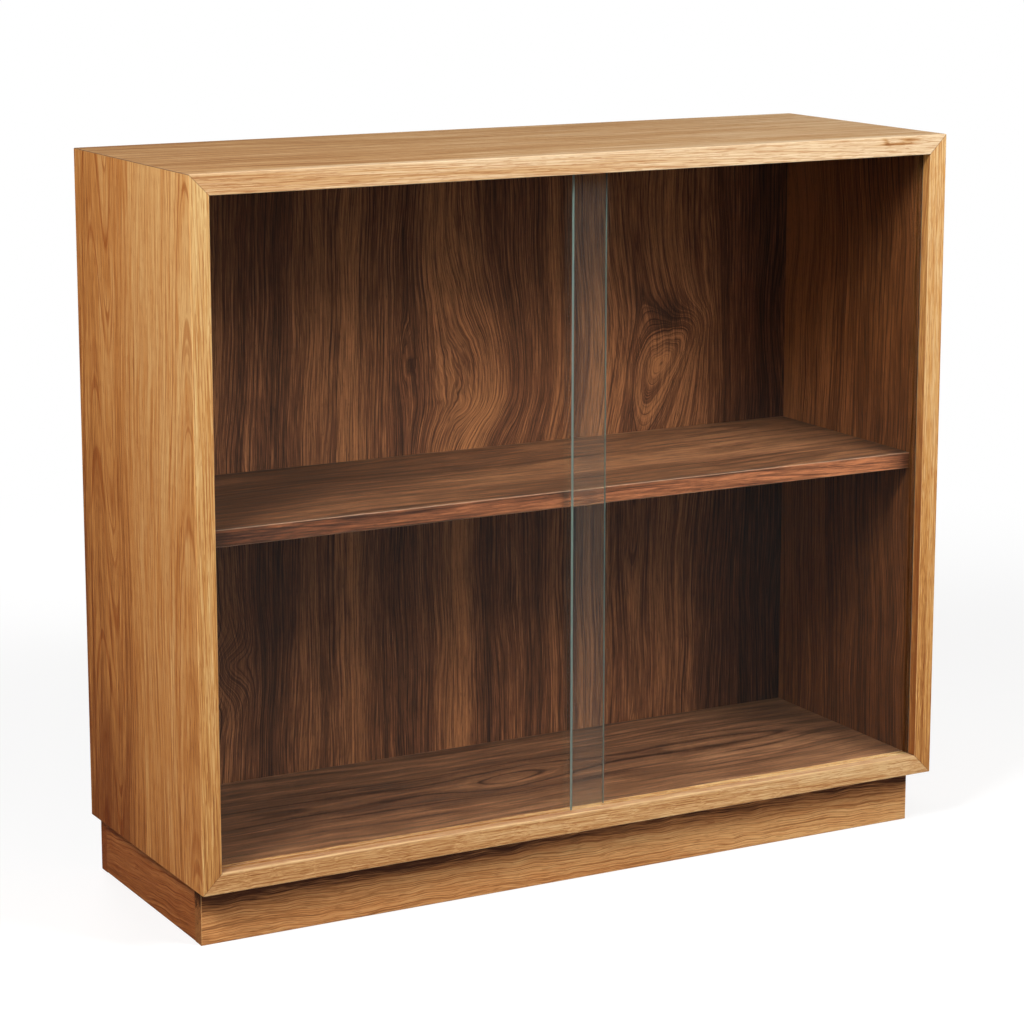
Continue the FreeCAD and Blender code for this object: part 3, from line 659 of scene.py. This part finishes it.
strip = Finish("tan_strip")
where = strip.object_place()
along = strip.times(where["x"], SCUFFS_ALONG)
across = strip.times(where["y"], SCUFFS_ACROSS)
scuffs = strip.noise(strip.point(along, across, 0.0), 3.0)
strip.shader(
    Base_Color=strip.shades(scuffs, (0.35, STRIP_DARK), (0.65, STRIP_PALE)),
    Roughness=strip.total(0.35, strip.times(scuffs, 0.25)),
)
strip.relief(scuffs, SCUFF_RELIEF)
wear(strip, "front_glide_strip", "rear_glide_strip")

# ---------------------------------------------------------------------------
# Glass doors: two panes of clear 5 mm float glass with ground edges, which
# show as grey-green lines, those of the rear pane painted darker as shade. A
# painted haze stands in for the reflections in the strip where they overlap.
# ---------------------------------------------------------------------------

CLEAR = (0.95, 0.985, 0.97, 1)
SHADOW_TINT = (0.93, 0.96, 0.95, 1)
FRONT_EDGE_GREEN = (0.14, 0.19, 0.165, 1)
# The rear pane's edges are the same glass, painted darker as shade.
REAR_EDGE_SHADED_GREEN = (0.06, 0.085, 0.07, 1)
GROUND_ROUGHNESS = 0.35
PAINTED_OVERLAP_HAZE = 0.0038
HAZE_OUTSIDE = 0.002  # how far it fades out past the overlap, in metres
HAZE_INSIDE = 0.001


def share_out(finish, share, first, second):
    """The first shader where share is 0 and the second one where it is 1."""
    node = finish.nodes.new("ShaderNodeMixShader")
    for socket, value in zip(node.inputs, (share, first, second)):
        finish.feed(socket, value)
    return node.outputs[0]


def show(finish, shader):
    """Shows a shader in place of the finish's plain surface."""
    finish.links.new(shader, finish.nodes["Material Output"].inputs["Surface"])


left_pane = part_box("left_door_glass")
right_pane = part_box("right_door_glass")
between = (left_pane[0].y + right_pane[1].y) / 2
overlap_middle = (right_pane[0].x + left_pane[1].x) / 2
overlap_half = (left_pane[1].x - right_pane[0].x) / 2

glass = Finish("float_glass")
where = glass.object_place()
on_edge = glass.less(1.0, glass.facing("y"))
rear = glass.maths("GREATER_THAN", where["y"], between)
edge_green = glass.blend(rear, FRONT_EDGE_GREEN, REAR_EDGE_SHADED_GREEN)
from_middle = glass.maths("ABSOLUTE", glass.total(where["x"], -overlap_middle))
# A painted haze across the overlap, in place of the reflections of the two panes.
overlap_haze = glass.step(from_middle, low=overlap_half + HAZE_OUTSIDE, high=overlap_half - HAZE_INSIDE)
glass.shader(
    Base_Color=glass.blend(on_edge, CLEAR, edge_green),
    Roughness=glass.times(on_edge, GROUND_ROUGHNESS),
    Transmission_Weight=glass.less(glass.less(1.0, on_edge), glass.times(overlap_haze, PAINTED_OVERLAP_HAZE)),
    IOR=1.5,
)
rays = glass.nodes.new("ShaderNodeLightPath")
light_through = glass.nodes.new("ShaderNodeBsdfTransparent")
light_through.inputs["Color"].default_value = SHADOW_TINT
show(
    glass,
    share_out(glass, rays.outputs["Is Shadow Ray"], glass.surface.outputs[0], light_through.outputs[0]),
)
wear(glass, "left_door_glass", "right_door_glass")

# ---------------------------------------------------------------------------
# Plinth: four oak boards, 19 mm thick, a shade darker than the case. The long
# boards cover the ends of the short ones.
# ---------------------------------------------------------------------------

TOFFEE = ((0.10, 0.028, 0.006), (0.575, 0.246, 0.076), (0.72, 0.415, 0.165))
# A painted shadow: the front board darkens towards its top, under the case's overhang, down to the darkest of
# TOFFEE. It also grows paler towards the right, painted light.
PLINTH_PAINTED_SHADOW = ((0.0, 0.63), (0.034, 0.61), (0.042, 0.48), (0.047, 0.26), (0.052, 0.13), (0.057, 0.0))
plinth_oak = oak(
    "oak_plinth_front", along="x", across="z", depth="y", tree=14.2, tones=TOFFEE,
    crown=0.05, arch=1.0, stray=0.1, ripple=0.009, drift=0.25, hues=PLINTH_PAINTED_SHADOW, lines=(0.45, 0.31, 0.18),
)
wear(plinth_oak, "plinth_front")

# Darker and redder than the front board: partly the wood's own tone and partly painted shade of the sides
# under the case's overhang.
SHADED_CHESTNUT = ((0.14, 0.034, 0.007), (0.36, 0.110, 0.025), (0.50, 0.195, 0.055))
for finish_name, node, along, across, depth, tree, ripple in (
    ("oak_plinth_back", "plinth_back", "x", "z", "y", 16.7, 0.0),
    ("oak_plinth_left", "plinth_side_left", "y", "z", "x", 18.3, 0.010),
    ("oak_plinth_right", "plinth_side_right", "y", "z", "x", 21.8, 0.0),
):
    wear(oak(finish_name, along, across, depth, tree, SHADED_CHESTNUT, crown=0.05, arch=1.0, ripple=ripple), node)

# ---------------------------------------------------------------------------
# Plinth bearer and corner blocks: planed offcuts of pale wood, glued inside
# the plinth.
# ---------------------------------------------------------------------------

wear(bare_wood("bearer_wood", "y", "z", "x", 23.5), "plinth_bearer")
wear(
    bare_wood("block_wood", "z", "x", "y", 25.1),
    "corner_block_front_left",
    "corner_block_front_right",
    "corner_block_back_left",
    "corner_block_back_right",
)

# ---------------------------------------------------------------------------
# Plinth screws: zinc-plated wood screws, driven up through the corner blocks.
# ---------------------------------------------------------------------------

FROST_PER_METRE = 900.0
ZINC_DULL = (0.52, 0.52, 0.50)
ZINC_BRIGHT = (0.68, 0.68, 0.66)

zinc = Finish("zinc_plate")
where = zinc.object_place()
frost = zinc.noise(zinc.point(*(zinc.times(where[axis], FROST_PER_METRE) for axis in "xyz")), 3.0)
zinc.shader(
    Base_Color=zinc.shades(frost, (0.35, ZINC_DULL), (0.65, ZINC_BRIGHT)),
    Metallic=1.0,
    Roughness=zinc.total(0.25, zinc.times(frost, 0.25)),
)
wear(zinc, "plinth_screws")

# ---------------------------------------------------------------------------
# Floor and surroundings: a white studio floor that runs into a white room. It
# keeps the soft shadow, and lamps light the object alone.
# ---------------------------------------------------------------------------

FLOOR_REACH = 30.0
FLOOR_GAP = 0.0003
sheet = bmesh.new()
bmesh.ops.create_grid(sheet, x_segments=1, y_segments=1, size=FLOOR_REACH)
bmesh.ops.translate(sheet, verts=sheet.verts, vec=(0.0, 0.0, -FLOOR_GAP))
floor_mesh = bpy.data.meshes.new("studio_floor")
sheet.to_mesh(floor_mesh)
sheet.free()
floor = bpy.data.objects.new("studio_floor", floor_mesh)
bpy.context.scene.collection.objects.link(floor)


def seen_plainly(tree):
    """1 for what is seen straight or through a pane, and 0 for light and for what is mirrored.

    It comes with the outputs of the Light Path node that it reads.
    """
    path = tree.nodes.new("ShaderNodeLightPath").outputs

    def maths(operation, first, second):
        node = tree.nodes.new("ShaderNodeMath")
        node.operation = operation
        for socket, value in zip(node.inputs, (first, second)):
            if isinstance(value, float):
                socket.default_value = value
            else:
                tree.links.new(value, socket)
        return node.outputs[0]

    bounces = maths("ADD", path["Glossy Depth"], path["Diffuse Depth"])
    straight = maths("MAXIMUM", path["Is Camera Ray"], path["Is Transmission Ray"])
    return maths("MULTIPLY", straight, maths("LESS_THAN", bounces, 0.5)), path


MIRRORED_FLOOR = (0.06, 0.06, 0.06, 1)
BOUNCING_FLOOR = (0.55, 0.55, 0.55, 1)
SHADED_FLOOR = (0.36, 0.36, 0.36, 1)
FLOOR_GLOW = 0.68
FADE_FROM = 1.1
FADE_TO = 2.4

white = Finish("studio_white")
seen, path = seen_plainly(white.material.node_tree)
unmirrored = white.maths("LESS_THAN", path["Glossy Depth"], 0.5)
white.shader(
    Base_Color=white.blend(unmirrored, MIRRORED_FLOOR, BOUNCING_FLOOR),
    Roughness=0.9,
    Specular_IOR_Level=0.0,
)
shaded = white.nodes.new("ShaderNodeBsdfDiffuse")
shaded.inputs["Color"].default_value = SHADED_FLOOR
glow = white.nodes.new("ShaderNodeEmission")
glow.inputs["Strength"].default_value = FLOOR_GLOW
near_white = white.nodes.new("ShaderNodeAddShader")
white.links.new(shaded.outputs[0], near_white.inputs[0])
white.links.new(glow.outputs[0], near_white.inputs[1])
far_white = white.nodes.new("ShaderNodeEmission")
where = white.object_place()
radius = white.maths("SQRT", white.total(*(white.maths("POWER", where[axis], 2.0) for axis in "xy")))
faded = white.step(radius, low=FADE_FROM, high=FADE_TO)
plain_white = share_out(white, faded, near_white.outputs[0], far_white.outputs[0])
show(white, share_out(white, seen, white.surface.outputs[0], plain_white))
floor_mesh.materials.append(white.material)

AMBIENT_TINT = (1.0, 0.97, 0.93, 1)
AMBIENT_LEVEL = 0.13

room = bpy.data.worlds.new("white_room")
bpy.context.scene.world = room
room.use_nodes = True
ambient = room.node_tree.nodes["Background"]
ambient.inputs["Color"].default_value = AMBIENT_TINT
ambient.inputs["Strength"].default_value = AMBIENT_LEVEL
backdrop = room.node_tree.nodes.new("ShaderNodeBackground")
backdrop.inputs["Color"].default_value = (1, 1, 1, 1)
backdrop.inputs["Strength"].default_value = 1.0
either = room.node_tree.nodes.new("ShaderNodeMixShader")
seen, path = seen_plainly(room.node_tree)
for value, socket in zip((seen, ambient.outputs[0], backdrop.outputs[0]), either.inputs):
    room.node_tree.links.new(value, socket)
room.node_tree.links.new(either.outputs[0], room.node_tree.nodes["World Output"].inputs["Surface"])


def soft_box(name, place, aim, size, power, mirrored=True):
    """A square lamp that looks from its place at what it is aimed at."""
    lamp = bpy.data.lights.new(name, "AREA")
    lamp.shape = "RECTANGLE"
    lamp.size = size
    lamp.size_y = size
    lamp.energy = power
    item = bpy.data.objects.new(name, lamp)
    item.location = place
    item.rotation_euler = (Vector(place) - Vector(aim)).to_track_quat("Z", "Y").to_euler()
    item.visible_glossy = mirrored
    bpy.context.scene.collection.objects.link(item)


soft_box("left_box", place=(-2.2, -1.35, 2.4), aim=(-0.3, 0.0, 0.5), size=0.9, power=84.0)
soft_box("right_box", place=(1.5, -2.3, 2.5), aim=(0.2, 0.0, 0.5), size=1.0, power=86.0)
soft_box("back_box", place=(0.3, 3.0, 1.7), aim=(0.0, 0.0, 0.4), size=1.2, power=32.0, mirrored=False)

# ---------------------------------------------------------------------------
# Camera: a long lens from the front left, a little above the top.
# ---------------------------------------------------------------------------

AZIMUTH = math.radians(-28.654)
ELEVATION = math.radians(11.067)
DISTANCE = 3.884
AIM = Vector((-0.012, 0.0, 0.525))
back = Vector(
    (math.sin(AZIMUTH) * math.cos(ELEVATION), -math.cos(AZIMUTH) * math.cos(ELEVATION), math.sin(ELEVATION))
)
lens = bpy.data.cameras.new("camera")
lens.sensor_width = 36.0
lens.lens = 108.02
lens.shift_y = -0.06
camera = bpy.data.objects.new("camera", lens)
camera.location = AIM + back * DISTANCE
camera.rotation_euler = back.to_track_quat("Z", "Y").to_euler()
bpy.context.scene.collection.objects.link(camera)
bpy.context.scene.camera = camera

bpy.context.scene.view_settings.view_transform = "Standard"
